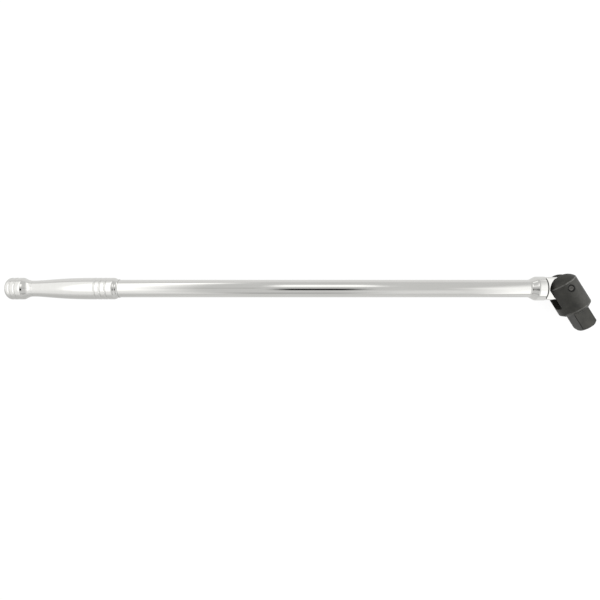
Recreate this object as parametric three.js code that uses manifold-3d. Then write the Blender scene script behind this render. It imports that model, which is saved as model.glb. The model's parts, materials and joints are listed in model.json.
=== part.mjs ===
// Breaker bar with a flexing yoke head, lying on its side.
// Millimetres. The bar runs along +X with its head at +X, and the pivot pin stands along +Z.
// The origin is under the middle of the whole tool, on the surface that it lies on.

import * as THREE from 'three';
import { mergeVertices } from 'three/addons/utils/BufferGeometryUtils.js';
import Module from 'manifold-3d';

const wasm = await Module();
wasm.setup();

// ---- Driving dimensions, handle. X is measured from the handle's free end. ----

const PIVOT_X = 432.2;
const FLEX_ANGLE = THREE.MathUtils.degToRad(-58);

const KNOB_RADIUS = 8.5;
const KNOB_EDGE_RADIUS = 3.7;
const KNOB_LENGTH = 11.4;
const KNOB_CORNER_X = 12.4;
const KNOB_GROOVES = [4.7, 8.45];
const TAPER = [[13.0, 8.3], [14.2, 7.62]];
const WAIST_CORNER_X = 17.3;
const WAIST_START_X = 19.0;
const WAIST_RADIUS = 6.25;
const WAIST_X = 20.5;
const SPIGOT_RADIUS = 4.4;
const SPIGOT_LENGTH = 13;
const SPIGOT_CHAMFER = 1;
const SEAM_GAP = 0.04;

const SWAGE_PULLS = [[24.5, 6.25], [33, 7.08]];
const GRIP_NECK_RADIUS = 7.57;
const GRIP_NECK_X = 40.1;
const SWELL_PULLS = [[47, 8.05], [55, 8.4]];
const GRIP_RADIUS = 8.45;
const GRIP_FULL_X = 66;
const GRIP_GROOVES = [69.45, 73.6, 77.85];
const NOSE_START_X = 82.1;
const NOSE_END_X = 86.95;
const NOSE_RADIUS = 7.1;
const SLEEVE_FIT_GAP = 0.1;
const BORE_STEP_GAP = 1;

const GROOVE_HALF_WIDTH = 0.7;
const GROOVE_DEPTH = 0.5;

const SHAFT_RADIUS = 6.88;
const TAIL_X = 53.4;
const TAIL_CHAMFER = 1;
const FLARE_START_X = 404.15;
const FLARE_TOE_X = 404.95;
const FLARE_CONE = [[405.95, 7.22], [409.0, 8.81]];
const FLARE_CORNER_X = 410.1;
const FLARE_END_X = 410.7;
const COLLAR_RADIUS = 9.38;
const SHOULDER_X = 417.3;

const TONGUE_THICKNESS = 9.57;
const TONGUE_HALF_WIDTH = 9.06;

// ---- Driving dimensions, head. X is measured from the pivot towards the drive's end. ----

const HEAD_RADIUS = 12.42;
const DOME_RADIUS = 14.17;
const DOME_CENTRE_X = 2.0;
const CHAMFER_START_X = 17.65;
const HEAD_END_X = 20.1;
const HEAD_END_RADIUS = 9.55;
const SLOT_WIDTH = 10.12;
const SLOT_FLOOR_X = 11.8;

const DRIVE_SIZE = 12.7;
const DRIVE_END_X = 34.9;
const DRIVE_EDGE_RADIUS = 0.4;
const DRIVE_CHAMFER_LENGTH = 2.4;
const DRIVE_TIP_RADIUS = 6.6;

const PIN_RADIUS = 2.2;
const PIN_HALF_LENGTH = 12.05;
const PIN_CHAMFER = 0.4;
const PIN_PRESS_GAP = 0.03;
const PIN_RUNNING_GAP = 0.06;
const COUNTERSINK_RADIUS = 2.75;
const COUNTERSINK_DEPTH = 0.6;

const PLUNGER_RADIUS = 2.0;
const PLUNGER_TIP_GAP = 0.25;
const PLUNGER_LENGTH = 4.8;
const PLUNGER_BORE_RADIUS = 2.1;
const PLUNGER_BORE_END_X = 19.1;

const BALL_RADIUS = 2.0;
const BALL_X = DRIVE_END_X - 7.5;
const BALL_PROUD = 0.8;
const BALL_BORE_RADIUS = 2.1;
const BALL_BORE_DEPTH = 9.6;

const SPRING_END_GAP = 0.15;
const SPRING_SIDE_GAP = 0.1;
const FRICTION_WIRE = 0.55;
const FRICTION_TURNS = 4.5;
const DETENT_WIRE = 0.4;
const DETENT_TURNS = 5;

const TURN_SEGMENTS = 40;
const HOLE_SEGMENTS = 32;
const BALL_SEGMENTS = 24;
const WIRE_SEGMENTS = 8;
const STEPS_PER_COIL = 14;
const OVERCUT = 5;

// ---- Solids ----

// Welds a geometry's vertices and drops the triangles that shrink to nothing at a lathe's poles.
function weld(geometry) {
  const bare = geometry.clone();
  bare.deleteAttribute('normal');
  bare.deleteAttribute('uv');
  const welded = mergeVertices(bare);
  const kept = [];
  const index = welded.getIndex().array;
  for (let i = 0; i < index.length; i += 3) {
    const [a, b, c] = index.slice(i, i + 3);
    if (a !== b && b !== c && c !== a) kept.push(a, b, c);
  }
  welded.setIndex(kept);
  return welded;
}

function toSolid(geometry) {
  const welded = weld(geometry);
  const vertProperties = new Float32Array(welded.getAttribute('position').array);
  const triVerts = new Uint32Array(welded.getIndex().array);
  return new wasm.Manifold(new wasm.Mesh({ numProp: 3, vertProperties, triVerts }));
}

function toGeometry(solid) {
  const { vertProperties, triVerts } = solid.getMesh();
  const geometry = new THREE.BufferGeometry();
  geometry.setAttribute('position', new THREE.BufferAttribute(vertProperties, 3));
  geometry.setIndex(new THREE.BufferAttribute(triVerts, 1));
  geometry.computeVertexNormals();
  return geometry;
}

// Turns an outline, drawn as (distance along the axis, radius), about the X axis.
function turnAboutX(outline, segments = TURN_SEGMENTS, divisions = 4) {
  const points = outline.getPoints(divisions).map((p) => new THREE.Vector2(p.y, p.x));
  return new THREE.LatheGeometry(points, segments).rotateZ(-Math.PI / 2);
}

// The same outline turned about the Z axis.
function turnAboutZ(outline, segments = HOLE_SEGMENTS) {
  return turnAboutX(outline, segments).rotateY(-Math.PI / 2);
}

function cylinderAlongX(radius, startX, endX, segments = HOLE_SEGMENTS) {
  const length = endX - startX;
  const cylinder = new THREE.CylinderGeometry(radius, radius, length, segments);
  return cylinder.rotateZ(-Math.PI / 2).translate(startX + length / 2, 0, 0);
}

function cylinderAlongY(radius, startY, endY, x) {
  const length = endY - startY;
  const cylinder = new THREE.CylinderGeometry(radius, radius, length, HOLE_SEGMENTS);
  return cylinder.translate(x, startY + length / 2, 0);
}

// Adds round-bottomed grooves to an outline that runs along +X at one radius.
function cutGrooves(outline, grooves, radius) {
  const half = GROOVE_HALF_WIDTH;
  const bottom = radius - GROOVE_DEPTH;
  for (const x of grooves) {
    outline.lineTo(x - half, radius);
    outline.lineTo(x - half / 2, bottom);
    outline.lineTo(x + half / 2, bottom);
    outline.lineTo(x + half, radius);
  }
}

class Helix extends THREE.Curve {
  constructor(radius, length, turns) {
    super();
    Object.assign(this, { radius, length, turns });
  }

  getPoint(t, target = new THREE.Vector3()) {
    const angle = 2 * Math.PI * this.turns * t;
    return target.set(this.length * t, this.radius * Math.cos(angle), this.radius * Math.sin(angle));
  }
}

// A coil spring along +X from startX to endX, inside a given outer radius.
function coilSpring(startX, endX, outerRadius, wire, turns) {
  const length = endX - startX - wire;
  const path = new Helix(outerRadius - wire / 2, length, turns);
  const section = new THREE.Shape().absarc(0, 0, wire / 2, 0, 2 * Math.PI);
  const settings = {
    extrudePath: path,
    steps: Math.round(turns * STEPS_PER_COIL),
    curveSegments: WIRE_SEGMENTS / 2,
    bevelEnabled: false,
  };
  return new THREE.ExtrudeGeometry(section, settings).translate(startX + wire / 2, 0, 0);
}

// ---- Materials ----

const chrome = (name) =>
  new THREE.MeshStandardMaterial({ name, color: 0xd4d6d8, metalness: 1, roughness: 0.08 });
const phosphate = new THREE.MeshStandardMaterial({ color: 0x45443f, metalness: 0.7, roughness: 0.5 });
const hardSteel = new THREE.MeshStandardMaterial({ color: 0x8b8c8d, metalness: 1, roughness: 0.3 });
const springSteel = new THREE.MeshStandardMaterial({ color: 0x6f7072, metalness: 1, roughness: 0.4 });

function piece(name, geometry, material) {
  const mesh = new THREE.Mesh(geometry, material);
  mesh.name = name;
  return mesh;
}

// ---- Handle ----

// Knob, waist and the spigot that plugs the sleeve.
function endCap() {
  const edge = KNOB_EDGE_RADIUS;
  const [taperStart, taperEnd] = TAPER;
  const spigotEnd = WAIST_X + SPIGOT_LENGTH;
  const outline = new THREE.Path().moveTo(0, 0);
  outline.lineTo(0, KNOB_RADIUS - edge);
  outline.absarc(edge, KNOB_RADIUS - edge, edge, Math.PI, Math.PI / 2, true);
  cutGrooves(outline, KNOB_GROOVES, KNOB_RADIUS);
  outline.lineTo(KNOB_LENGTH, KNOB_RADIUS);
  outline.quadraticCurveTo(KNOB_CORNER_X, KNOB_RADIUS, ...taperStart);
  outline.lineTo(...taperEnd);
  outline.quadraticCurveTo(WAIST_CORNER_X, WAIST_RADIUS, WAIST_START_X, WAIST_RADIUS);
  outline.lineTo(WAIST_X, WAIST_RADIUS);
  outline.lineTo(WAIST_X, SPIGOT_RADIUS);
  outline.lineTo(spigotEnd - SPIGOT_CHAMFER, SPIGOT_RADIUS);
  outline.lineTo(spigotEnd, SPIGOT_RADIUS - SPIGOT_CHAMFER);
  outline.lineTo(spigotEnd, 0);
  return turnAboutX(outline);
}

// Swaged tube: narrow over the spigot, full bore over the bar's tail.
function gripSleeve() {
  const boreRadius = SHAFT_RADIUS + SLEEVE_FIT_GAP;
  const neckBore = SPIGOT_RADIUS + SLEEVE_FIT_GAP;
  const start = WAIST_X + SEAM_GAP;
  const outline = new THREE.Path().moveTo(start, neckBore);
  outline.lineTo(start, WAIST_RADIUS);
  outline.bezierCurveTo(...SWAGE_PULLS.flat(), GRIP_NECK_X, GRIP_NECK_RADIUS);
  outline.bezierCurveTo(...SWELL_PULLS.flat(), GRIP_FULL_X, GRIP_RADIUS);
  cutGrooves(outline, GRIP_GROOVES, GRIP_RADIUS);
  outline.lineTo(NOSE_START_X, GRIP_RADIUS);
  const noseMiddleX = (NOSE_START_X + NOSE_END_X) / 2;
  outline.bezierCurveTo(noseMiddleX, GRIP_RADIUS, noseMiddleX, NOSE_RADIUS, NOSE_END_X, NOSE_RADIUS);
  outline.lineTo(NOSE_END_X, boreRadius);
  outline.lineTo(TAIL_X - BORE_STEP_GAP, boreRadius);
  outline.lineTo(WAIST_X + SPIGOT_LENGTH + BORE_STEP_GAP, neckBore);
  outline.lineTo(start, neckBore);
  return turnAboutX(outline);
}

// The tongue's outline seen along the pin: straight flanks and a round end about the pivot.
function tongueSlab() {
  const outline = new THREE.Shape();
  outline.moveTo(SHOULDER_X - OVERCUT, -TONGUE_HALF_WIDTH);
  outline.absarc(PIVOT_X, 0, TONGUE_HALF_WIDTH, -Math.PI / 2, Math.PI / 2);
  outline.lineTo(SHOULDER_X - OVERCUT, TONGUE_HALF_WIDTH);
  const settings = { depth: TONGUE_THICKNESS, bevelEnabled: false, curveSegments: 24 };
  return new THREE.ExtrudeGeometry(outline, settings).translate(0, 0, -TONGUE_THICKNESS / 2);
}

// Shaft, flare and collar, with the flat tongue on the end.
function bar() {
  const outline = new THREE.Path().moveTo(TAIL_X, 0);
  outline.lineTo(TAIL_X, SHAFT_RADIUS - TAIL_CHAMFER);
  outline.lineTo(TAIL_X + TAIL_CHAMFER, SHAFT_RADIUS);
  outline.lineTo(FLARE_START_X, SHAFT_RADIUS);
  outline.quadraticCurveTo(FLARE_TOE_X, SHAFT_RADIUS, ...FLARE_CONE[0]);
  outline.lineTo(...FLARE_CONE[1]);
  outline.quadraticCurveTo(FLARE_CORNER_X, COLLAR_RADIUS, FLARE_END_X, COLLAR_RADIUS);
  outline.lineTo(SHOULDER_X, COLLAR_RADIUS);
  outline.lineTo(SHOULDER_X, 0);

  const knuckleEnd = PIVOT_X + COLLAR_RADIUS;
  const knuckle = cylinderAlongX(COLLAR_RADIUS, SHOULDER_X - OVERCUT, knuckleEnd, TURN_SEGMENTS);
  const pinHole = new THREE.CylinderGeometry(
    PIN_RADIUS + PIN_RUNNING_GAP, PIN_RADIUS + PIN_RUNNING_GAP, 2 * TONGUE_THICKNESS, HOLE_SEGMENTS,
  );
  pinHole.rotateX(Math.PI / 2).translate(PIVOT_X, 0, 0);
  const tongue = toSolid(knuckle).intersect(toSolid(tongueSlab()));
  return toGeometry(toSolid(turnAboutX(outline)).add(tongue).subtract(toSolid(pinHole)));
}

// ---- Head ----

const BALL_Y = DRIVE_SIZE / 2 + BALL_PROUD - BALL_RADIUS;
const BALL_BORE_END_Y = DRIVE_SIZE / 2 - BALL_BORE_DEPTH;
const PLUNGER_TIP_X = TONGUE_HALF_WIDTH + PLUNGER_TIP_GAP;
const PLUNGER_BACK_X = PLUNGER_TIP_X + PLUNGER_LENGTH;

// Domed cylinder with a chamfered lower end.
function headBlank() {
  const domeEdge = Math.PI - Math.asin(HEAD_RADIUS / DOME_RADIUS);
  const outline = new THREE.Path();
  outline.absarc(DOME_CENTRE_X, 0, DOME_RADIUS, Math.PI, domeEdge, true);
  outline.lineTo(CHAMFER_START_X, HEAD_RADIUS);
  outline.lineTo(HEAD_END_X, HEAD_END_RADIUS);
  outline.lineTo(HEAD_END_X, 0);
  return toSolid(turnAboutX(outline));
}

// Square drive with softened edges and a turned chamfer on its end.
function squareDrive() {
  const half = DRIVE_SIZE / 2;
  const edge = DRIVE_EDGE_RADIUS;
  const square = new THREE.Shape();
  square.moveTo(-half + edge, -half);
  square.lineTo(half - edge, -half);
  square.absarc(half - edge, -half + edge, edge, -Math.PI / 2, 0);
  square.absarc(half - edge, half - edge, edge, 0, Math.PI / 2);
  square.absarc(-half + edge, half - edge, edge, Math.PI / 2, Math.PI);
  square.absarc(-half + edge, -half + edge, edge, Math.PI, 1.5 * Math.PI);
  const rootX = HEAD_END_X - OVERCUT;
  const settings = { depth: DRIVE_END_X - rootX, bevelEnabled: false, curveSegments: 2 };
  const stock = new THREE.ExtrudeGeometry(square, settings).rotateY(Math.PI / 2).translate(rootX, 0, 0);

  const cornerRadius = half * Math.SQRT2;
  const outline = new THREE.Path().moveTo(rootX - OVERCUT, 0);
  outline.lineTo(rootX - OVERCUT, cornerRadius);
  outline.lineTo(DRIVE_END_X - DRIVE_CHAMFER_LENGTH, cornerRadius);
  outline.lineTo(DRIVE_END_X, DRIVE_TIP_RADIUS);
  outline.lineTo(DRIVE_END_X, 0);
  return toSolid(stock).intersect(toSolid(turnAboutX(outline)));
}

// Cross hole through both ears, with a countersink at each end.
function pinHoleCutter() {
  const radius = PIN_RADIUS + PIN_PRESS_GAP;
  const mouth = HEAD_RADIUS - COUNTERSINK_DEPTH;
  const outline = new THREE.Path().moveTo(-HEAD_RADIUS, 0);
  outline.lineTo(-HEAD_RADIUS, COUNTERSINK_RADIUS);
  outline.lineTo(-mouth, radius);
  outline.lineTo(mouth, radius);
  outline.lineTo(HEAD_RADIUS, COUNTERSINK_RADIUS);
  outline.lineTo(HEAD_RADIUS, 0);
  return toSolid(turnAboutZ(outline));
}

// Socket for the detent ball: a staked lip keeps the ball in.
function ballSocketCutter() {
  const seat = new THREE.SphereGeometry(BALL_BORE_RADIUS, BALL_SEGMENTS, BALL_SEGMENTS / 2);
  seat.translate(BALL_X, BALL_Y, 0);
  const bore = cylinderAlongY(BALL_BORE_RADIUS, BALL_BORE_END_Y, BALL_Y, BALL_X);
  return toSolid(seat).add(toSolid(bore));
}

function yokeHead() {
  const slotStart = -HEAD_RADIUS - OVERCUT;
  const slotLength = SLOT_FLOOR_X - slotStart;
  const slot = new THREE.BoxGeometry(slotLength, 3 * HEAD_RADIUS, SLOT_WIDTH);
  slot.translate(slotStart + slotLength / 2, 0, 0);
  const plungerBore = cylinderAlongX(PLUNGER_BORE_RADIUS, SLOT_FLOOR_X - OVERCUT, PLUNGER_BORE_END_X);
  const body = headBlank().add(squareDrive());
  const slotted = body.subtract(toSolid(slot)).subtract(toSolid(plungerBore));
  return toGeometry(slotted.subtract(pinHoleCutter()).subtract(ballSocketCutter()));
}

function pivotPin() {
  const end = PIN_HALF_LENGTH;
  const flat = PIN_RADIUS - PIN_CHAMFER;
  const outline = new THREE.Path().moveTo(-end, 0);
  outline.lineTo(-end, flat);
  outline.lineTo(-end + PIN_CHAMFER, PIN_RADIUS);
  outline.lineTo(end - PIN_CHAMFER, PIN_RADIUS);
  outline.lineTo(end, flat);
  outline.lineTo(end, 0);
  return turnAboutZ(outline);
}

// Ball-nosed plunger: its tip faces the tongue.
function frictionPlunger() {
  const noseCentre = PLUNGER_TIP_X + PLUNGER_RADIUS;
  const outline = new THREE.Path();
  outline.absarc(noseCentre, 0, PLUNGER_RADIUS, Math.PI, Math.PI / 2, true);
  outline.lineTo(PLUNGER_BACK_X, PLUNGER_RADIUS);
  outline.lineTo(PLUNGER_BACK_X, 0);
  return turnAboutX(outline, BALL_SEGMENTS, 4);
}

function frictionSpring() {
  const start = PLUNGER_BACK_X + SPRING_END_GAP;
  const end = PLUNGER_BORE_END_X - SPRING_END_GAP;
  return coilSpring(start, end, PLUNGER_BORE_RADIUS - SPRING_SIDE_GAP, FRICTION_WIRE, FRICTION_TURNS);
}

function detentSpring() {
  const start = BALL_BORE_END_Y + SPRING_END_GAP;
  const end = BALL_Y - BALL_RADIUS - SPRING_END_GAP;
  const coil = coilSpring(start, end, BALL_BORE_RADIUS - SPRING_SIDE_GAP, DETENT_WIRE, DETENT_TURNS);
  return coil.rotateZ(Math.PI / 2).translate(BALL_X, 0, 0);
}

function detentBall() {
  const ball = new THREE.SphereGeometry(BALL_RADIUS, BALL_SEGMENTS, BALL_SEGMENTS / 2);
  return ball.translate(BALL_X, BALL_Y, 0);
}

// ---- Assembly ----

const head = new THREE.Group();
head.position.x = PIVOT_X;
head.rotation.z = FLEX_ANGLE;
head.add(
  piece('yoke_head', yokeHead(), phosphate),
  piece('pivot_pin', pivotPin(), hardSteel),
  piece('friction_plunger', frictionPlunger(), hardSteel),
  piece('friction_spring', frictionSpring(), springSteel),
  piece('detent_ball', detentBall(), hardSteel),
  piece('detent_spring', detentSpring(), springSteel),
);

const tool = new THREE.Group();
tool.add(
  piece('bar', bar(), chrome('bar chrome')),
  piece('grip_sleeve', gripSleeve(), chrome('grip chrome')),
  piece('end_cap', endCap(), chrome('cap chrome')),
  head,
);

// Sets the tool down on Z = 0, with the middle of its outline over the origin.
const extent = new THREE.Box3().setFromObject(tool, true);
const middle = extent.getCenter(new THREE.Vector3());
tool.position.set(-middle.x, -middle.y, -extent.min.z);

const breakerBar = new THREE.Group();
breakerBar.name = 'breaker_bar';
breakerBar.add(tool);

export default breakerBar;
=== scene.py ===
"""Breaker bar with a flexing yoke head: fine meshes, finishes, light and camera over the CAD frame."""
import json
import math

import bpy
import numpy as np
from mathutils import Matrix, Vector


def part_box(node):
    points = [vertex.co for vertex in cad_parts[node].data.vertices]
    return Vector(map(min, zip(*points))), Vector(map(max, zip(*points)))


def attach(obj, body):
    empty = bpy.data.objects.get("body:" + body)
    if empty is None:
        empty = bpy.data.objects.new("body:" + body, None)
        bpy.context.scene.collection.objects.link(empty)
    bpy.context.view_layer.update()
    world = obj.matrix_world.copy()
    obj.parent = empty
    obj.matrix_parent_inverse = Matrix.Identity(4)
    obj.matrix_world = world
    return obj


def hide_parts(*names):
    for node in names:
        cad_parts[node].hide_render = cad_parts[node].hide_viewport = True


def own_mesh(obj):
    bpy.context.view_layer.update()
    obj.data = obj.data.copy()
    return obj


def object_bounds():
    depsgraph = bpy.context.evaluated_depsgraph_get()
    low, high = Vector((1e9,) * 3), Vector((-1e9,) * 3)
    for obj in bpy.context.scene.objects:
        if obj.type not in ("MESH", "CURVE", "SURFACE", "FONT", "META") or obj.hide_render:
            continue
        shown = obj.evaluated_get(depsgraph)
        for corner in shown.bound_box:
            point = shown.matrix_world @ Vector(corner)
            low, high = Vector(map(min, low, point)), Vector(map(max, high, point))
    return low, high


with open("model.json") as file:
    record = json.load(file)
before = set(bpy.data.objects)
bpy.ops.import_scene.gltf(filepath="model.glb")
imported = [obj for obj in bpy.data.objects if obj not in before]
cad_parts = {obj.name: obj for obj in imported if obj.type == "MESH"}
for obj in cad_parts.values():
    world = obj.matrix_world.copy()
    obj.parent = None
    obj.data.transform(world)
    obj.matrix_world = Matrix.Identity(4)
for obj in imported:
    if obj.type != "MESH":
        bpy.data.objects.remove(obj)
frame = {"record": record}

cad_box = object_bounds()

# ---- Dimensions in millimetres. On the handle, X is measured from the knob's end. ----

PIVOT_X = 432.2

KNOB_RADIUS = 8.5
KNOB_EDGE_RADIUS = 3.7
KNOB_LENGTH = 11.4
KNOB_CORNER_X = 12.4
KNOB_GROOVES = [4.7, 8.45]
TAPER = [(13.0, 8.3), (14.2, 7.62)]
WAIST_CORNER_X = 17.3
WAIST_START_X = 19.0
WAIST_RADIUS = 6.25
WAIST_X = 20.5
SPIGOT_RADIUS = 4.4
SPIGOT_LENGTH = 13
SPIGOT_CHAMFER = 1
SEAM_GAP = 0.04

SLEEVE_LAND = 0.5
SWAGE_PULLS = [(24.5, 6.25), (33, 7.08)]
GRIP_NECK_RADIUS = 7.57
GRIP_NECK_X = 40.1
SWELL_PULLS = [(47, 8.05), (55, 8.4)]
GRIP_RADIUS = 8.45
GRIP_FULL_X = 66
GRIP_GROOVES = [69.45, 73.6, 77.85]
NOSE_START_X = 82.1
NOSE_END_X = 86.95
NOSE_RADIUS = 7.1
SLEEVE_FIT_GAP = 0.1
BORE_STEP_GAP = 1

GROOVE_HALF_WIDTH = 0.7
GROOVE_DEPTH = 0.5
GROOVE_LIP_ROUNDING = 0.22
GROOVE_FLOOR_ROUNDING = 0.25

SHAFT_RADIUS = 6.88
TAIL_X = 53.4
FLARE_START_X = 404.15
FLARE_CONE = [(405.95, 7.22), (409.0, 8.81)]
COLLAR_RADIUS = 9.38
SHOULDER_X = 417.3
TONGUE_THICKNESS = 9.57
TONGUE_HALF_WIDTH = 9.06

# On the head, X is measured from the pivot towards the drive's end.
HEAD_RADIUS = 12.42
DOME_RADIUS = 14.17
DOME_CENTRE_X = 2.0
CHAMFER_START_X = 17.65
HEAD_END_X = 20.1
HEAD_END_RADIUS = 9.55
SLOT_WIDTH = 10.12
SLOT_FLOOR_X = 11.8

DRIVE_SIZE = 12.7
DRIVE_END_X = 34.9
DRIVE_EDGE_RADIUS = 0.4
DRIVE_CHAMFER_LENGTH = 2.4
DRIVE_TIP_RADIUS = 6.6
DRIVE_ROOT_DEPTH = 5

PIN_RADIUS = 2.2
PIN_HALF_LENGTH = 12.05
PIN_PRESS_GAP = 0.03
PIN_RUNNING_GAP = 0.06
PIN_CHAMFER = 0.4
CENTRE_MARK_RADIUS = 0.42
CENTRE_MARK_DEPTH = 0.35
COUNTERSINK_RADIUS = 2.75
COUNTERSINK_DEPTH = 0.6

PLUNGER_RADIUS = 2.0
PLUNGER_TIP_X = 9.31
PLUNGER_BACK_X = 14.11
PLUNGER_NOSE_LAND = 1.0
PLUNGER_BACK_LAND = 0.7
PLUNGER_RELIEF = 0.12
PLUNGER_RELIEF_RUN = 0.1
PLUNGER_BORE_RADIUS = 2.1
PLUNGER_BORE_END_X = 19.1

BALL_RADIUS = 2.0
BALL_X = 27.4
BALL_Y = 5.15
BALL_BORE_RADIUS = 2.1
BALL_BORE_END_Y = -3.25

SPRING_END_GAP = 0.15
SPRING_SIDE_GAP = 0.1
SPRING_END_CLOSING = 0.11

# Painted shade: a dark band along the collar's edge over the tongue, and dark rings in the head's
# countersinks.
PAINTED_SHADE_WIDTH = 1.35
PAINTED_SHADE_HALF_LENGTH = 7.6
PAINTED_SHADE_MIDDLE_HALF_WIDTH = 3.4
COUNTERSINK_SHADE_MARGIN = 0.25

# Bright wear reaches this far in from the edge of the head's end, and keeps off the slot and the pin.
WEAR_INSET = 0.6
WEAR_SLOT_MARGIN = 0.8
WEAR_PIN_MARGIN = 0.5

# Spacing of the grid lines that the bar and the yoke are meshed on. Along the plain shaft they are
# wide apart, but for a fine stretch at the tail and a little of the shaft before the flare.
FIELD_STEP = 0.25
SHAFT_STEP = 7.0
TAIL_FINE_LENGTH = 1.5
FLARE_LEAD = 0.5

# ---- The frame, and the axes that the pieces are drawn in ----

MM = 0.001
mounts = {mount["name"]: mount for mount in frame["record"]["mounts"]}
joints = {joint["name"]: joint for joint in frame["record"]["behaviour"]["joints"]}
bar_low, bar_high = (Vector(corner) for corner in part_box("bar"))
pivot = Vector(joints["head_swing"]["pos_m"])
axis_height = (bar_low.z + bar_high.z) / 2
knob_end = Vector((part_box("end_cap")[0][0], pivot.y, axis_height))


def axes_at(origin, along):
    """Row-frame matrix of axes in millimetres at origin, with X along a direction and Z up."""
    x_axis = Vector(along).normalized()
    z_axis = Vector((0, 0, 1))
    turn = Matrix((x_axis, z_axis.cross(x_axis), z_axis)).transposed().to_4x4()
    return Matrix.Translation(origin) @ turn @ Matrix.Scale(MM, 4)


# HANDLE starts at the knob's end and HEAD at the pivot, with X towards the drive. PIN has X along the
# pin, and ACROSS has X along the detent ball's bore.
HANDLE = axes_at(knob_end, (1, 0, 0))
HEAD = axes_at(pivot, mounts["drive_tip"]["axis"])
PIN = HEAD @ Matrix.Rotation(-math.pi / 2, 4, "Y")
ACROSS = HEAD @ Matrix.Translation((BALL_X, 0, 0)) @ Matrix.Rotation(math.pi / 2, 4, "Z")


# ---- Mesh making ----

def add_piece(name, points, faces, normals, axes):
    """A smooth object in the row frame, with its shading normals given point by point."""
    axes_array = np.array(axes)
    turn = axes_array[:3, :3] / MM
    placed = np.asarray(points) @ axes_array[:3, :3].T + axes_array[:3, 3]
    mesh = bpy.data.meshes.new(name)
    mesh.from_pydata(placed.tolist(), [], faces)
    mesh.shade_smooth()
    mesh.normals_split_custom_set_from_vertices((np.asarray(normals) @ turn.T).tolist())
    piece = bpy.data.objects.new(name, mesh)
    bpy.context.scene.collection.objects.link(piece)
    return piece


class Outline:
    """A turned piece's profile: corners at (distance along the axis, radius), some rounded."""

    def __init__(self, x, radius):
        self.corners = [(x, radius, 0)]

    def line(self, x, radius, rounding=0):
        """A straight stretch to a corner, which is cut back by its rounding."""
        self.corners.append((x, radius, rounding))
        return self

    def curve(self, first, second, end, steps=14):
        """A cubic curve from the last corner, pulled by two control points."""
        start = np.array(self.corners[-1][:2])
        for t in np.linspace(0, 1, steps + 1)[1:]:
            point = (1 - t) ** 3 * start + 3 * (1 - t) ** 2 * t * np.array(first)
            point = point + 3 * (1 - t) * t**2 * np.array(second) + t**3 * np.array(end)
            self.corners.append((*point, 0))
        return self

    def bend(self, corner, end):
        """A curve from the last corner that touches both lines through another."""
        start = np.array(self.corners[-1][:2])
        corner = np.array(corner)
        return self.curve((start + 2 * corner) / 3, (2 * corner + end) / 3, end)

    def arc(self, centre_x, radius, start_angle, end_angle, steps=24, centre_radius=0):
        """Points on a circle about (centre_x, centre_radius)."""
        for angle in np.linspace(start_angle, end_angle, steps + 1)[1:]:
            self.line(centre_x + radius * math.cos(angle), centre_radius + max(radius * math.sin(angle), 0))
        return self

    def grooves(self, places, radius):
        """Trapezoid grooves cut into a plain stretch of one radius."""
        half = GROOVE_HALF_WIDTH
        bottom = radius - GROOVE_DEPTH
        for x in places:
            self.line(x - half, radius, GROOVE_LIP_ROUNDING)
            self.line(x - half / 2, bottom, GROOVE_FLOOR_ROUNDING)
            self.line(x + half / 2, bottom, GROOVE_FLOOR_ROUNDING)
            self.line(x + half, radius, GROOVE_LIP_ROUNDING)
        return self

    def points(self):
        """The profile with each rounded corner as a short curve."""
        steps = 6
        result = []
        corners = np.array([corner[:2] for corner in self.corners], dtype=float)
        for i, (_, _, rounding) in enumerate(self.corners):
            corner = corners[i]
            if not rounding:
                result.append(corner)
                continue
            before = corners[i - 1] - corner
            after = corners[i + 1] - corner
            start = corner + before * min(rounding / np.linalg.norm(before), 0.5)
            end = corner + after * min(rounding / np.linalg.norm(after), 0.5)
            for t in np.linspace(0, 1, steps + 1):
                result.append((1 - t) ** 2 * start + 2 * (1 - t) * t * corner + t**2 * end)
        return np.array(result)


def profile_normals(points, closed):
    """Normals of a profile. A long stretch outweighs a short one, so flats stay flat."""
    along = np.diff(points, axis=0)
    weighted = np.stack([-along[:, 1], along[:, 0]], axis=1)
    total = np.zeros_like(points)
    total[:-1] += weighted
    total[1:] += weighted
    if closed:
        total[0] += weighted[-1]
        total[-1] += weighted[0]
    return total / np.maximum(np.linalg.norm(total, axis=1, keepdims=True), 1e-9)


def turned(name, outline, axes, segments=160):
    """Turns an outline about the X axis of its axes. Its ends are on the axis, or meet."""
    profile = outline.points()
    closed = np.allclose(profile[0], profile[-1])
    slopes = profile_normals(profile, closed)
    if closed:
        profile = profile[:-1]
    points = []
    normals = []
    rings = []
    for (x, radius), (slope_x, slope_r) in zip(profile, slopes):
        count = segments if radius > 1e-6 else 1
        if count == 1:
            slope_x, slope_r = math.copysign(1, slope_x), 0
        rings.append([len(points) + i for i in range(count)])
        for i in range(count):
            angle = 2 * math.pi * i / segments
            across = (math.cos(angle), math.sin(angle))
            points.append((x, radius * across[0], radius * across[1]))
            normals.append((slope_x, slope_r * across[0], slope_r * across[1]))
    faces = []
    pairs = list(zip(rings, rings[1:]))
    if closed:
        pairs.append((rings[-1], rings[0]))
    for near, far in pairs:
        for i in range(segments):
            j = (i + 1) % segments
            corners = [near[i % len(near)], near[j % len(near)], far[j % len(far)], far[i % len(far)]]
            face = list(dict.fromkeys(corners))
            if len(face) > 2:
                faces.append(face)
    return add_piece(name, points, faces, normals, axes)


def slope(field, points, reach=0.02):
    """Gradient of a field, and the sum of its second differences, which is large on edges."""
    middle = field(*points.T)
    gradient = np.empty_like(points)
    bending = -6 * middle
    for axis in range(3):
        offset = np.zeros(3)
        offset[axis] = reach
        ahead = field(*(points + offset).T)
        behind = field(*(points - offset).T)
        gradient[:, axis] = (ahead - behind) / (2 * reach)
        bending = bending + ahead + behind
    return middle, gradient, bending / reach**2


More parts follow.
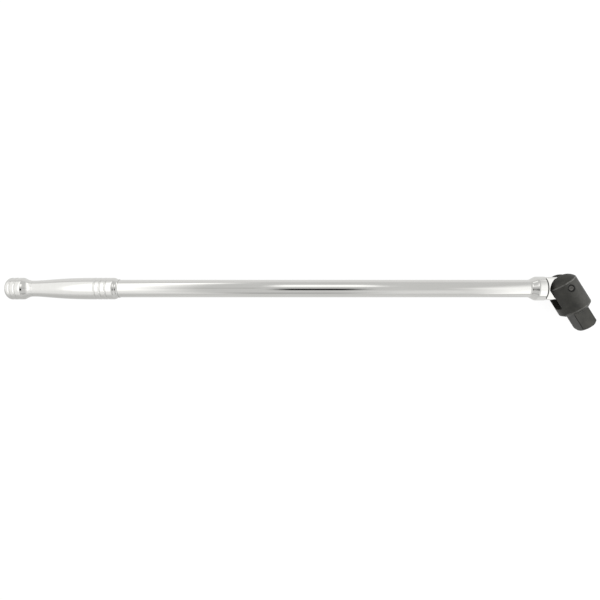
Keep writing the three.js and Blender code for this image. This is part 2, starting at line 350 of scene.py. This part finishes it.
def grid_across(radius):
    """Evenly spaced grid lines that reach past a radius on both sides."""
    return np.arange(-radius - 2 * FIELD_STEP, radius + 3 * FIELD_STEP, FIELD_STEP)


def surface_of(field, xs, ys, zs):
    """Quad mesh of the surface where a signed distance field is zero, on a grid of lines.

    Each grid cell that the surface passes through gets one point, which is then slid onto the
    surface. Each grid line between two points on opposite sides gets the quad around it.
    """
    inside = field(*np.meshgrid(xs, ys, zs, indexing="ij")) < 0
    corner_count = sum(
        inside[i : i - 1 or None, j : j - 1 or None, k : k - 1 or None].astype(int)
        for i in (0, 1) for j in (0, 1) for k in (0, 1)
    )
    crossed = (corner_count > 0) & (corner_count < 8)
    number = np.cumsum(crossed).reshape(crossed.shape) - 1
    cells = np.argwhere(crossed)
    lines = (xs, ys, zs)
    points = np.stack(
        [(lines[a][cells[:, a]] + lines[a][cells[:, a] + 1]) / 2 for a in range(3)], axis=1
    )
    for _ in range(5):
        distance, gradient, _ = slope(field, points)
        steep = np.maximum((gradient**2).sum(axis=1), 0.05)
        points = points - (distance / steep)[:, None] * gradient
    _, gradient, bending = slope(field, points)
    normals = gradient / np.linalg.norm(gradient, axis=1, keepdims=True)

    faces = []
    for axis in range(3):
        near = np.take(inside, range(inside.shape[axis] - 1), axis)
        far = np.take(inside, range(1, inside.shape[axis]), axis)
        places = np.argwhere(near != far)
        leaving = near[tuple(places.T)]
        side_a, side_b = np.roll(np.eye(3, dtype=int), -axis, axis=0)[1:]
        cells_around = [places, places - side_a, places - side_a - side_b, places - side_b]
        quads = np.stack([number[tuple(cell.T)] for cell in cells_around], axis=1)
        quads[~leaving] = quads[~leaving][:, ::-1]
        faces.extend(quads.tolist())
    return points, faces, normals, bending


def both(a, b, edge):
    """Where two distance fields are both inside, with a rounded edge."""
    outside = np.hypot(np.maximum(a + edge, 0), np.maximum(b + edge, 0))
    return np.minimum(np.maximum(a, b), -edge) + outside


def either(a, b, fillet):
    """Two distance fields joined, with a fillet."""
    return -both(-a, -b, fillet)


def cut(a, b, edge):
    """The first distance field less the second, with a rounded edge."""
    return both(a, -b, edge)


def sloping(x, radius, start, end):
    """Distance outside the cone through two profile points, the second further along the axis."""
    run = end[0] - start[0]
    rise = end[1] - start[1]
    return ((radius - start[1]) * run - (x - start[0]) * rise) / math.hypot(run, rise)


def rising(values, start, run):
    """0 before start and 1 after the run, with a straight ramp between."""
    return np.clip((values - start) / run, 0, 1)


def carved(name, field, lines, axes, masks):
    """A piece made from a distance field, with an attribute for each mask.

    A mask is worked out from the points' places and from how sharp the edge there is.
    """
    points, faces, normals, bending = surface_of(field, *lines)
    piece = add_piece(name, points, faces, normals, axes)
    sharpness = rising(bending, 1.2, 1.6)
    for attribute, mask in masks.items():
        values = piece.data.attributes.new(attribute, "FLOAT", "POINT")
        values.data.foreach_set("value", mask(*points.T, sharpness).astype(np.float32))
    return piece


def coil(name, start, end, outer_radius, wire, turns, axes, sides=14, steps_per_turn=40):
    """A compression spring along X, with its end turns wound closer than the rest."""
    count = int(turns * steps_per_turn)
    t = np.linspace(0, 1, count + 1)
    closing = t - SPRING_END_CLOSING * np.sin(2 * math.pi * t)
    angle = 2 * math.pi * turns * t
    middle = outer_radius - wire / 2
    x = start + wire / 2 + (end - start - wire) * closing
    path = np.stack([x, middle * np.cos(angle), middle * np.sin(angle)], axis=1)
    ahead = np.gradient(path, axis=0)
    ahead = ahead / np.linalg.norm(ahead, axis=1, keepdims=True)
    outward = np.stack([np.zeros_like(angle), np.cos(angle), np.sin(angle)], axis=1)
    sideways = np.cross(ahead, outward)
    points = []
    normals = []
    for i in range(sides):
        turn = 2 * math.pi * i / sides
        normal = math.cos(turn) * outward + math.sin(turn) * sideways
        normals.append(normal)
        points.append(path + wire / 2 * normal)
    points = np.stack(points, axis=1).reshape(-1, 3)
    normals = np.stack(normals, axis=1).reshape(-1, 3)
    faces = []
    for ring in range(count):
        for i in range(sides):
            j = (i + 1) % sides
            near = ring * sides
            far = near + sides
            faces.append([near + i, near + j, far + j, far + i])
    faces.append(list(range(sides))[::-1])
    faces.append([count * sides + i for i in range(sides)])
    return add_piece(name, points, faces, normals, axes)


# ---- Finishes ----

class Finish:
    """A Principled material, built node by node on positions in the row frame."""

    def __init__(self, name, **constants):
        self.material = bpy.data.materials.new(name)
        self.material.use_nodes = True
        self.nodes = self.material.node_tree.nodes
        self.links = self.material.node_tree.links
        self.shader = self.nodes["Principled BSDF"]
        for socket, value in constants.items():
            self.shader.inputs[socket.replace("_", " ").title()].default_value = value
        self.place = self.nodes.new("ShaderNodeTexCoord").outputs["Object"]

    def parts(self):
        """X, Y and Z of the position."""
        node = self.nodes.new("ShaderNodeSeparateXYZ")
        self.links.new(self.place, node.inputs[0])
        return node.outputs

    def stretched(self, scale, angle=0):
        """Positions scaled by axis, after a turn about Z."""
        turn = self.nodes.new("ShaderNodeMapping")
        turn.inputs["Rotation"].default_value[2] = angle
        stretch = self.nodes.new("ShaderNodeMapping")
        stretch.inputs["Scale"].default_value = scale
        self.links.new(self.place, turn.inputs["Vector"])
        self.links.new(turn.outputs[0], stretch.inputs["Vector"])
        return stretch.outputs[0]

    def noise(self, scale, detail=3, roughness=0.5, at=None):
        """Cloudy noise from 0 to 1, at the given positions or at plain ones."""
        node = self.nodes.new("ShaderNodeTexNoise")
        node.inputs["Scale"].default_value = scale
        node.inputs["Detail"].default_value = detail
        node.inputs["Roughness"].default_value = roughness
        self.links.new(at or self.place, node.inputs["Vector"])
        return node.outputs["Fac"]

    def spread(self, value, low, high, start=0.3, end=0.7):
        """Maps a value from start..end to low..high."""
        node = self.nodes.new("ShaderNodeMapRange")
        limits = {"From Min": start, "From Max": end, "To Min": low, "To Max": high}
        for socket, limit in limits.items():
            node.inputs[socket].default_value = limit
        self.links.new(value, node.inputs["Value"])
        return node.outputs["Result"]

    def combine(self, operation, a, b):
        """A sum, product or other function of two values, each a number or an output."""
        node = self.nodes.new("ShaderNodeMath")
        node.operation = operation
        for socket, value in zip(node.inputs, (a, b)):
            if isinstance(value, (int, float)):
                socket.default_value = value
            else:
                self.links.new(value, socket)
        return node.outputs[0]

    def blend(self, first, second, share):
        """Two values added up, the first by its share and the second by the rest."""
        kept = self.combine("MULTIPLY", first, share)
        return self.combine("ADD", kept, self.combine("MULTIPLY", second, 1 - share))

    def mix(self, factor, first, second):
        """A colour between two, each a tuple or an output."""
        node = self.nodes.new("ShaderNodeMix")
        node.data_type = "RGBA"
        self.links.new(factor, node.inputs["Factor"])
        for socket, colour in ((node.inputs[6], first), (node.inputs[7], second)):
            if isinstance(colour, tuple):
                socket.default_value = (*colour, 1)
            else:
                self.links.new(colour, socket)
        return node.outputs[2]

    def attribute(self, name):
        """The mesh's value of that name."""
        node = self.nodes.new("ShaderNodeAttribute")
        node.attribute_name = name
        return node.outputs["Fac"]

    def set(self, socket, value):
        """Feeds an output to one of the shader's inputs."""
        self.links.new(value, self.shader.inputs[socket])

    def bump(self, *layers):
        """Stacks bumps, each a (height, depth in millimetres) pair."""
        normal = None
        for height, depth in layers:
            node = self.nodes.new("ShaderNodeBump")
            node.inputs["Distance"].default_value = depth * MM
            self.links.new(height, node.inputs["Height"])
            if normal:
                self.links.new(normal, node.inputs["Normal"])
            normal = node.outputs["Normal"]
        self.links.new(normal, self.shader.inputs["Normal"])


HEAD_ANGLE = math.atan2(mounts["drive_tip"]["axis"][1], mounts["drive_tip"]["axis"][0])
PLATING_DULL = (0.575, 0.572, 0.552)
PLATING_BRIGHT = (0.615, 0.611, 0.592)
PHOSPHATE_DARK = (0.0185, 0.0185, 0.0163)
PHOSPHATE_LIGHT = (0.042, 0.0412, 0.0355)
RUBBED_STEEL = (0.24, 0.237, 0.225)
# Colours of painted shade, on the chrome and on the phosphate.
PAINTED_SHADE_ON_CHROME = (0.03, 0.03, 0.028)
PAINTED_SHADE_ON_PHOSPHATE = (0.005, 0.005, 0.0045)


def chrome(name, grain, lines):
    """Bright plating: faint waviness, a few dull smudges, and polishing lines drawn out along the
    axis where the grain is small."""
    finish = Finish(name, metallic=1.0)
    smudges = finish.noise(22, detail=4, roughness=0.6)
    polish = finish.noise(900, detail=2, at=finish.stretched(grain))
    tone = finish.blend(smudges, polish, 0.6)
    plating = finish.mix(finish.spread(tone, 0, 1), PLATING_DULL, PLATING_BRIGHT)
    # Painted shade: the attribute darkens the plating along the collar's edge over the tongue.
    finish.set("Base Color", finish.mix(finish.attribute("painted_shade"), plating, PAINTED_SHADE_ON_CHROME))
    dullness = finish.spread(smudges, 0.05, 0.11, start=0.45, end=0.75)
    finish.set("Roughness", finish.combine("ADD", dullness, finish.spread(polish, 0, 0.02)))
    waviness = finish.noise(160, detail=2, roughness=0.4)
    finish.bump((waviness, 0.012), (polish, lines))
    return finish.material


def phosphate_steel():
    """Dark manganese phosphate: fine crystals, cloudy tone, and edges rubbed back to bare steel."""
    finish = Finish("phosphate_steel", metallic=0.55)
    crystals = finish.noise(5200, detail=3, roughness=0.7)
    clouds = finish.noise(140, detail=5, roughness=0.62)
    turning = finish.noise(2600, detail=2, at=finish.stretched((1, 0.03, 0.03), -HEAD_ANGLE))
    tone = finish.spread(finish.blend(clouds, crystals, 0.65), 0, 1, start=0.35, end=0.65)
    coating = finish.mix(tone, PHOSPHATE_DARK, PHOSPHATE_LIGHT)
    chips = finish.spread(finish.noise(420, detail=4, roughness=0.65), 0.25, 1.0, start=0.35, end=0.6)
    rubbed = finish.combine("MULTIPLY", finish.attribute("rubbed"), chips)
    worn = finish.mix(rubbed, coating, RUBBED_STEEL)
    # Painted shade: the attribute darkens the coating in the countersinks and on the drive's long edges.
    finish.set("Base Color", finish.mix(finish.attribute("painted_shade"), worn, PAINTED_SHADE_ON_PHOSPHATE))
    matt = finish.spread(crystals, 0.40, 0.58)
    smoothing = finish.combine("MULTIPLY", rubbed, 0.16)
    finish.set("Roughness", finish.combine("SUBTRACT", matt, smoothing))
    finish.bump((turning, 0.006), (crystals, 0.010), (clouds, 0.02))
    return finish.material


def ground_steel(name, dark, light, roughness, scale, lines):
    """Bare hardened steel with fine grinding lines and a cloudy oil film."""
    finish = Finish(name, metallic=1.0)
    grinding = finish.noise(scale, roughness=0.6, at=finish.stretched((1, 1, 0.08)))
    film = finish.noise(500, detail=4, roughness=0.6)
    finish.set("Base Color", finish.mix(finish.spread(film, 0, 1), dark, light))
    finish.set("Roughness", finish.spread(grinding, roughness, roughness + 0.15))
    finish.bump((grinding, lines))
    return finish.material


def pin_steel():
    """The pin's ends, darkened by oil."""
    dark, light = (0.045, 0.044, 0.041), (0.08, 0.078, 0.073)
    return ground_steel("pin_steel", dark, light, roughness=0.35, scale=2500, lines=0.004)


def plunger_steel():
    dark, light = (0.4, 0.4, 0.4), (0.52, 0.52, 0.52)
    return ground_steel("plunger_steel", dark, light, roughness=0.18, scale=1800, lines=0.002)


def ball_steel():
    dark, light = (0.5, 0.5, 0.5), (0.6, 0.6, 0.6)
    return ground_steel("ball_steel", dark, light, roughness=0.08, scale=1500, lines=0.0006)


def spring_wire(name):
    dark, light = (0.25, 0.25, 0.26), (0.38, 0.38, 0.4)
    return ground_steel(name, dark, light, roughness=0.3, scale=3000, lines=0.003)


# ---- Handle ----

def end_cap():
    """Turned knob with two grooves, a waist, and the spigot that plugs the sleeve."""
    face_radius = KNOB_RADIUS - KNOB_EDGE_RADIUS
    outline = Outline(0, 0).line(0, face_radius)
    quarter = (math.pi, math.pi / 2)
    outline.arc(KNOB_EDGE_RADIUS, KNOB_EDGE_RADIUS, *quarter, steps=12, centre_radius=face_radius)
    outline.grooves(KNOB_GROOVES, KNOB_RADIUS)
    taper_start, taper_end = TAPER
    outline.line(KNOB_LENGTH, KNOB_RADIUS)
    outline.bend((KNOB_CORNER_X, KNOB_RADIUS), taper_start)
    outline.curve(taper_start, taper_end, taper_end, steps=4)
    outline.bend((WAIST_CORNER_X, WAIST_RADIUS), (WAIST_START_X, WAIST_RADIUS))
    spigot_end = WAIST_X + SPIGOT_LENGTH
    outline.line(WAIST_X, WAIST_RADIUS, rounding=0.02)
    outline.line(WAIST_X, SPIGOT_RADIUS, rounding=0.1)
    outline.line(spigot_end - SPIGOT_CHAMFER, SPIGOT_RADIUS, rounding=0.3)
    outline.line(spigot_end, SPIGOT_RADIUS - SPIGOT_CHAMFER, rounding=0.3)
    outline.line(spigot_end, 0)
    return turned("end_cap_fine", outline, HANDLE)


def grip_sleeve():
    """Swaged grip: narrow over the spigot, swelling to three grooves and the stepped nose."""
    bore_radius = SHAFT_RADIUS + SLEEVE_FIT_GAP
    neck_bore = SPIGOT_RADIUS + SLEEVE_FIT_GAP
    start = WAIST_X + SEAM_GAP
    outline = Outline(start, neck_bore)
    outline.line(start, WAIST_RADIUS, rounding=0.02).line(start + SLEEVE_LAND, WAIST_RADIUS)
    outline.curve(*SWAGE_PULLS, (GRIP_NECK_X, GRIP_NECK_RADIUS))
    outline.curve(*SWELL_PULLS, (GRIP_FULL_X, GRIP_RADIUS))
    outline.grooves(GRIP_GROOVES, GRIP_RADIUS)
    outline.line(NOSE_START_X, GRIP_RADIUS)
    nose_middle = (NOSE_START_X + NOSE_END_X) / 2
    nose_end = (NOSE_END_X, NOSE_RADIUS)
    outline.curve((nose_middle, GRIP_RADIUS), (nose_middle, NOSE_RADIUS), nose_end, steps=24)
    outline.line(NOSE_END_X, bore_radius, rounding=0.05)
    outline.line(TAIL_X - BORE_STEP_GAP, bore_radius)
    outline.line(WAIST_X + SPIGOT_LENGTH + BORE_STEP_GAP, neck_bore).line(start, neck_bore)
    return turned("grip_sleeve_fine", outline, HANDLE)


def bar_field(x, y, z):
    """The bar as a distance field, with X from the pivot."""
    radius = np.hypot(y, z)
    cone = sloping(x + PIVOT_X, radius, *FLARE_CONE)
    collar = both(radius - COLLAR_RADIUS, cone, edge=0.4)
    shaft = either(radius - SHAFT_RADIUS, collar, fillet=0.5)
    round_end = np.where(x > 0, np.hypot(x, y), np.abs(y)) - TONGUE_HALF_WIDTH
    tongue = both(np.abs(z) - TONGUE_THICKNESS / 2, round_end, edge=0.35)
    before_shoulder = x - (SHOULDER_X - PIVOT_X)
    knuckle = both(shaft, either(before_shoulder, tongue, fillet=0.6), edge=0.7)
    pin_hole = np.hypot(x, y) - PIN_RADIUS - PIN_RUNNING_GAP
    return both(cut(knuckle, pin_hole, edge=0.2), TAIL_X - PIVOT_X - x, edge=1.0)


def painted_shoulder_shade(x, y, z, sharpness):
    """Painted shade along the collar's edge over the tongue, wider in the middle of the tongue's root."""
    past_shoulder = x - (SHOULDER_X - PIVOT_X)
    reach = 0.15 + 0.5 * rising(-np.abs(y), -PAINTED_SHADE_MIDDLE_HALF_WIDTH, 1.5)
    on_edge = rising(past_shoulder, -PAINTED_SHADE_WIDTH, 0.2) * (past_shoulder < reach)
    over_tongue = (np.abs(y) < PAINTED_SHADE_HALF_LENGTH) & (np.abs(z) > TONGUE_THICKNESS / 2 - 0.1)
    return on_edge * over_tongue


def bar():
    """Shaft, flare, collar and tongue in one mesh, with long quads on the plain shaft."""
    step = FIELD_STEP
    tail = TAIL_X - PIVOT_X
    plain_start = tail + TAIL_FINE_LENGTH
    plain_end = FLARE_START_X - PIVOT_X - FLARE_LEAD
    along = np.concatenate([
        np.arange(tail - 2 * step, plain_start, step),
        np.arange(plain_start, plain_end, SHAFT_STEP),
        np.arange(plain_end, TONGUE_HALF_WIDTH + 3 * step, step),
    ])
    across = grid_across(COLLAR_RADIUS)
    axes = HANDLE @ Matrix.Translation((PIVOT_X, 0, 0))
    # The mask paints shade along the collar's edge over the tongue.
    return carved("bar_fine", bar_field, (along, across, across), axes, {"painted_shade": painted_shoulder_shade})


# ---- Head ----

def yoke_field(x, y, z):
    """The yoke head as a distance field, with X from the pivot and Z along the pin."""
    radius = np.hypot(y, z)
    dome = np.hypot(np.minimum(x - DOME_CENTRE_X, 0), radius) - DOME_RADIUS
    body = both(radius - HEAD_RADIUS, dome, edge=0.15)
    chamfer = sloping(x, radius, (CHAMFER_START_X, HEAD_RADIUS), (HEAD_END_X, HEAD_END_RADIUS))
    body = both(both(body, chamfer, edge=0.4), x - HEAD_END_X, edge=0.25)

    half = DRIVE_SIZE / 2
    square = both(np.abs(y) - half, np.abs(z) - half, DRIVE_EDGE_RADIUS)
    tip_start = (DRIVE_END_X - DRIVE_CHAMFER_LENGTH, half * math.sqrt(2))
    tip_cone = sloping(x, radius, tip_start, (DRIVE_END_X, DRIVE_TIP_RADIUS))
    tip = both(tip_cone, x - DRIVE_END_X, edge=0.35)
    drive = both(both(square, tip, edge=0.3), HEAD_END_X - DRIVE_ROOT_DEPTH - x, edge=0.1)
    solid = either(body, drive, fillet=0.35)

    slot = both(np.abs(z) - SLOT_WIDTH / 2, x - SLOT_FLOOR_X, edge=0.8)
    plunger_bore = both(radius - PLUNGER_BORE_RADIUS, x - PLUNGER_BORE_END_X, edge=0.1)
    pin_radius = np.hypot(x, y)
    pin_hole = pin_radius - PIN_RADIUS - PIN_PRESS_GAP
    countersink_bottom = (HEAD_RADIUS - COUNTERSINK_DEPTH, PIN_RADIUS + PIN_PRESS_GAP)
    countersink = sloping(np.abs(z), pin_radius, countersink_bottom, (HEAD_RADIUS, COUNTERSINK_RADIUS))
    holes = np.minimum(np.minimum(pin_hole, countersink), plunger_bore)

    ball_seat = np.sqrt((x - BALL_X) ** 2 + (y - BALL_Y) ** 2 + z**2) - BALL_BORE_RADIUS
    ball_bore = np.hypot(x - BALL_X, z) - BALL_BORE_RADIUS
    ball_bore = both(both(ball_bore, y - BALL_Y, edge=0.02), BALL_BORE_END_Y - y, edge=0.1)
    slotted = cut(solid, slot, edge=0.5)
    return cut(cut(slotted, holes, edge=0.12), np.minimum(ball_seat, ball_bore), edge=0.08)


def rubbed_edges(x, y, z, sharpness):
    """Bright wear: only where the turned body changes slope, clear of the slot and the pin."""
    on_body = (np.hypot(y, z) > HEAD_END_RADIUS - WEAR_INSET) & (x < HEAD_END_X + 0.1)
    clear_of_slot = np.abs(z) > SLOT_WIDTH / 2 + WEAR_SLOT_MARGIN
    clear_of_pin = np.hypot(x, y) > COUNTERSINK_RADIUS + WEAR_PIN_MARGIN
    return sharpness * on_body * clear_of_slot * clear_of_pin


def painted_head_shade(x, y, z, sharpness):
    """Painted shade: the countersinks, and the drive's long edges."""
    around_pin = np.hypot(x, y) < COUNTERSINK_RADIUS + COUNTERSINK_SHADE_MARGIN
    countersink = around_pin & (np.abs(z) > SLOT_WIDTH / 2 + 1)
    drive_edges = np.minimum(1.7 * sharpness, 1) * (x > HEAD_END_X + 0.5)
    return np.maximum(countersink, drive_edges)


def yoke_head():
    """Domed, slotted head with the square drive, in one mesh."""
    step = FIELD_STEP
    along = np.arange(DOME_CENTRE_X - DOME_RADIUS - 2 * step, DRIVE_END_X + 3 * step, step)
    across = grid_across(HEAD_RADIUS)
    # Besides the edge wear, a mask paints shade in the countersinks and on the drive's long edges.
    masks = {"rubbed": rubbed_edges, "painted_shade": painted_head_shade}
    return carved("yoke_head_fine", yoke_field, (along, across, across), HEAD, masks)


def pivot_pin():
    """Headless pin with chamfered ends and a small centre mark in each."""
    end = PIN_HALF_LENGTH
    outline = Outline(-end + CENTRE_MARK_DEPTH, 0)
    outline.line(-end, CENTRE_MARK_RADIUS, rounding=0.08)
    outline.line(-end, PIN_RADIUS - PIN_CHAMFER, rounding=0.1)
    outline.line(-end + PIN_CHAMFER, PIN_RADIUS, rounding=0.1)
    outline.line(end - PIN_CHAMFER, PIN_RADIUS, rounding=0.1)
    outline.line(end, PIN_RADIUS - PIN_CHAMFER, rounding=0.1)
    outline.line(end, CENTRE_MARK_RADIUS, rounding=0.08)
    outline.line(end - CENTRE_MARK_DEPTH, 0)
    return turned("pivot_pin_fine", outline, PIN, segments=72)


def friction_plunger():
    """Ball-nosed plunger with a shallow relief between two lands, and a flat back for its spring."""
    nose_centre = PLUNGER_TIP_X + PLUNGER_RADIUS
    front_land_end = nose_centre + PLUNGER_NOSE_LAND
    back_land_start = PLUNGER_BACK_X - PLUNGER_BACK_LAND
    relief_radius = PLUNGER_RADIUS - PLUNGER_RELIEF
    outline = Outline(PLUNGER_TIP_X, 0).arc(nose_centre, PLUNGER_RADIUS, math.pi, math.pi / 2)
    outline.line(front_land_end, PLUNGER_RADIUS, rounding=0.1)
    outline.line(front_land_end + PLUNGER_RELIEF_RUN, relief_radius, rounding=0.1)
    outline.line(back_land_start - PLUNGER_RELIEF_RUN, relief_radius, rounding=0.1)
    outline.line(back_land_start, PLUNGER_RADIUS, rounding=0.1)
    outline.line(PLUNGER_BACK_X, PLUNGER_RADIUS, rounding=0.2).line(PLUNGER_BACK_X, 0)
    return turned("friction_plunger_fine", outline, HEAD, segments=64)


def detent_ball():
    """Ball in the side of the drive."""
    outline = Outline(-BALL_RADIUS, 0).arc(0, BALL_RADIUS, math.pi, 0, steps=48)
    axes = HEAD @ Matrix.Translation((BALL_X, BALL_Y, 0))
    return turned("detent_ball_fine", outline, axes, segments=96)


def friction_spring():
    """Spring between the plunger and the end of its bore."""
    start = PLUNGER_BACK_X + SPRING_END_GAP
    end = PLUNGER_BORE_END_X - SPRING_END_GAP
    outer_radius = PLUNGER_BORE_RADIUS - SPRING_SIDE_GAP
    return coil("friction_spring_fine", start, end, outer_radius, wire=0.55, turns=4.5, axes=HEAD)


def detent_spring():
    """Spring between the end of the ball's bore and the ball."""
    start = BALL_BORE_END_Y + SPRING_END_GAP
    end = BALL_Y - BALL_RADIUS - SPRING_END_GAP
    outer_radius = BALL_BORE_RADIUS - SPRING_SIDE_GAP
    return coil("detent_spring_fine", start, end, outer_radius, wire=0.4, turns=5, axes=ACROSS)


# ---- Studio ----

# In metres, but for the lens and sensor. The camera's X and Y are measured from the middle of the
# tool and from the bar's axis, and its distance up from that axis.
CAMERA_DISTANCE = 0.3821
CAMERA_X = -0.0008
CAMERA_Y = -0.00893
LENS_MM = 29.4
SENSOR_MM = 36
FLOOR_HALF_SIZE = 3
CEILING_HALF_SIZE = 6
CEILING_ABOVE_CAMERA = 0.003
FLOOR_COLOUR = (0.10, 0.10, 0.10, 1)
FLOOR_LIGHT = 0.93
ROOM_LIGHT = 0.88
APRON_GAP = 0.003
APRON_DEPTH = 0.8
APRON_END_X = 0.185
APRON_RAMP_X = (-0.17, -0.11)
APRON_LIGHT = (0.78, 0.92)
APRON_LIFT = 0.0006
HEAD_TOUCH_INSET = 0.01
RIGHT_EDGE_BEND = 0.385
RIGHT_EDGE_SLANT = 0.085
OPENING_DARKNESS = 0.97
WHITE = (1, 1, 1, 1)
BLACK = (0, 0, 0, 1)


def floor_height(x):
    """The ground leans half a degree, so that the head and the thinner knob both touch it."""
    knob_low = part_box("end_cap")[0]
    head_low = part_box("yoke_head")[0]
    head_touch = head_low[0] + HEAD_TOUCH_INSET
    return (head_touch - x) * (knob_low[2] - head_low[2]) / (head_touch - knob_low[0])


def plane(name, corners):
    """A four-cornered plane, linked into the scene."""
    mesh = bpy.data.meshes.new(name)
    mesh.from_pydata(corners, [], [(0, 1, 2, 3)])
    made = bpy.data.objects.new(name, mesh)
    bpy.context.scene.collection.objects.link(made)
    return made


def glowing(name, colour):
    """A finish that gives white light and has no highlights."""
    finish = Finish(name, roughness=0.9)
    finish.shader.inputs["Base Color"].default_value = colour
    finish.shader.inputs["Specular IOR Level"].default_value = 0
    finish.shader.inputs["Emission Color"].default_value = WHITE
    return finish


def studio_floor():
    """White surface that the tool lies on."""
    half = FLOOR_HALF_SIZE
    outline = [(-half, -half), (half, -half), (half, half), (-half, half)]
    floor = plane("studio_floor", [(x, y, floor_height(x)) for x, y in outline])
    finish = glowing("studio_floor", FLOOR_COLOUR)
    finish.shader.inputs["Emission Strength"].default_value = FLOOR_LIGHT
    floor.data.materials.append(finish.material)


def glowing_panel(name, corners):
    """A plane that gives light and shows in reflections, but not to the camera. Returns its finish."""
    panel = plane(name, corners)
    panel.visible_camera = False
    panel.visible_shadow = False
    finish = glowing(name, BLACK)
    panel.data.materials.append(finish.material)
    return finish


def studio_apron():
    """Greyer ground in front of the bar, which darkens the lower edges of the chrome."""
    back = pivot.y - APRON_GAP
    front = back - APRON_DEPTH
    left, right = cad_box[0][0] - APRON_DEPTH, APRON_END_X
    outline = [(left, front), (right, front), (right, back), (left, back)]
    corners = [(x, y, floor_height(x) + APRON_LIFT) for x, y in outline]
    finish = glowing_panel("studio_apron", corners)
    x, _, _ = finish.parts()
    finish.set("Emission Strength", finish.spread(x, *APRON_LIGHT, *APRON_RAMP_X))


def studio_light():
    """Ceiling just above the camera, with bright panels and a dark opening, in a plain grey room."""
    world = bpy.data.worlds.new("studio")
    world.use_nodes = True
    background = world.node_tree.nodes["Background"]
    background.inputs["Color"].default_value = WHITE
    background.inputs["Strength"].default_value = ROOM_LIGHT
    bpy.context.scene.world = world

    half = CEILING_HALF_SIZE
    height = axis_height + CAMERA_DISTANCE + CEILING_ABOVE_CAMERA
    outline = [(-half, -half), (-half, half), (half, half), (half, -half)]
    finish = glowing_panel("studio_ceiling", [(x, y, height) for x, y in outline])
    x, y, _ = finish.parts()

    def ramp(value, start, end):
        """Rises smoothly from 0 at start to 1 at end, which may lie on either side of it."""
        result = finish.spread(value, 0, 1, start, end)
        result.node.interpolation_type = "SMOOTHSTEP"
        return result

    def band(value, start, rise_end, fall_start, end):
        """1 from rise_end to fall_start, falling to 0 at start and at end."""
        return finish.combine("MULTIPLY", ramp(value, start, rise_end), ramp(value, end, fall_start))

    # The right panel's edge lies further right the further it is from the bar.
    bend = finish.combine("MULTIPLY", finish.combine("ABSOLUTE", y, 0), RIGHT_EDGE_BEND)
    slant = finish.combine("MULTIPLY", y, RIGHT_EDGE_SLANT)
    right = finish.combine("SUBTRACT", x, finish.combine("ADD", bend, slant))
    left = ramp(x, -0.14, -0.31)

    # Each row is a mask along X, a mask along Y, and the light that is added where both are 1.
    panels = [
        # Left panel, its dimmer reach towards the front, and the fall of its far end.
        (left, band(y, -0.36, -0.03, 0.66, 2.8), 0.75),
        (left, band(y, -1.60, -0.30, 0.66, 2.8), 0.40),
        (ramp(x, -0.36, -0.46), band(y, -0.36, -0.03, 0.7, 2.8), -0.60),
        # Right panel, a soft light before the bar's right half, and the panel's bright core.
        (ramp(right, 0.20, 0.33), ramp(y, -2.4, -0.9), 0.72),
        (ramp(x, 0.02, 0.26), band(y, -1.6, -0.7, -0.25, -0.08), 0.22),
        (ramp(right, 0.36, 0.55), band(y, -1.5, -0.6, 0.6, 1.5), 1.2),
        # Small lamp behind the camera, and two greyer patches, beside the opening and in front.
        (band(x, -0.07, -0.02, 0.10, 0.16), band(y, 0.12, 0.18, 0.36, 0.50), 0.85),
        (band(x, -0.28, -0.23, -0.075, -0.055), band(y, -0.02, 0.02, 0.055, 0.09), -0.20),
        (band(x, -0.26, -0.10, 0.12, 0.24), band(y, -1.6, -0.95, -0.62, -0.45), -0.25),
    ]
    level = ROOM_LIGHT
    for across, along, light in panels:
        mask = finish.combine("MULTIPLY", across, along)
        level = finish.combine("ADD", finish.combine("MULTIPLY", mask, light), level)
    opening_x = band(x, -0.06, -0.012, 0.065, 0.125)
    opening_y = band(y, -0.19, -0.13, -0.03, 0.025)
    opening = finish.combine("MULTIPLY", opening_x, opening_y)
    shade = finish.combine("SUBTRACT", 1, finish.combine("MULTIPLY", opening, OPENING_DARKNESS))
    finish.set("Emission Strength", finish.combine("MULTIPLY", level, shade))


def camera():
    """Straight above the tool's middle, close enough for a strong perspective."""
    data = bpy.data.cameras.new("camera")
    data.sensor_width = SENSOR_MM
    data.lens = LENS_MM
    data.clip_start = 0.01
    eye = bpy.data.objects.new("camera", data)
    middle_x = (cad_box[0][0] + cad_box[1][0]) / 2
    eye.location = (middle_x + CAMERA_X, pivot.y + CAMERA_Y, axis_height + CAMERA_DISTANCE)
    bpy.context.scene.collection.objects.link(eye)
    bpy.context.scene.camera = eye


# ---- Assembly ----

# Each row is a CAD node, the body it rides, and what makes its mesh and its finish.
PIECES = [
    ("bar", "handle", bar, chrome("bar_chrome", grain=(0.02, 1, 1), lines=0.0006)),
    ("grip_sleeve", "handle", grip_sleeve, chrome("grip_chrome", grain=(1, 0.05, 0.05), lines=0.0005)),
    ("end_cap", "handle", end_cap, chrome("cap_chrome", grain=(1, 0.04, 0.04), lines=0.0008)),
    ("yoke_head", "head", yoke_head, phosphate_steel()),
    ("pivot_pin", "head", pivot_pin, pin_steel()),
    ("friction_plunger", "plunger", friction_plunger, plunger_steel()),
    ("friction_spring", "head", friction_spring, spring_wire("spring_steel")),
    ("detent_ball", "ball", detent_ball, ball_steel()),
    ("detent_spring", "head", detent_spring, spring_wire("detent_wire")),
]

made = {}
for node, body, make, material in PIECES:
    piece = make()
    piece.data.materials.append(material)
    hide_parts(node)
    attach(piece, body)
    made[node] = piece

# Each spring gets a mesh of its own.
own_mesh(made["friction_spring"])
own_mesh(made["detent_spring"])

studio_floor()
studio_apron()
studio_light()
camera()
bpy.context.scene.view_settings.view_transform = "Standard"
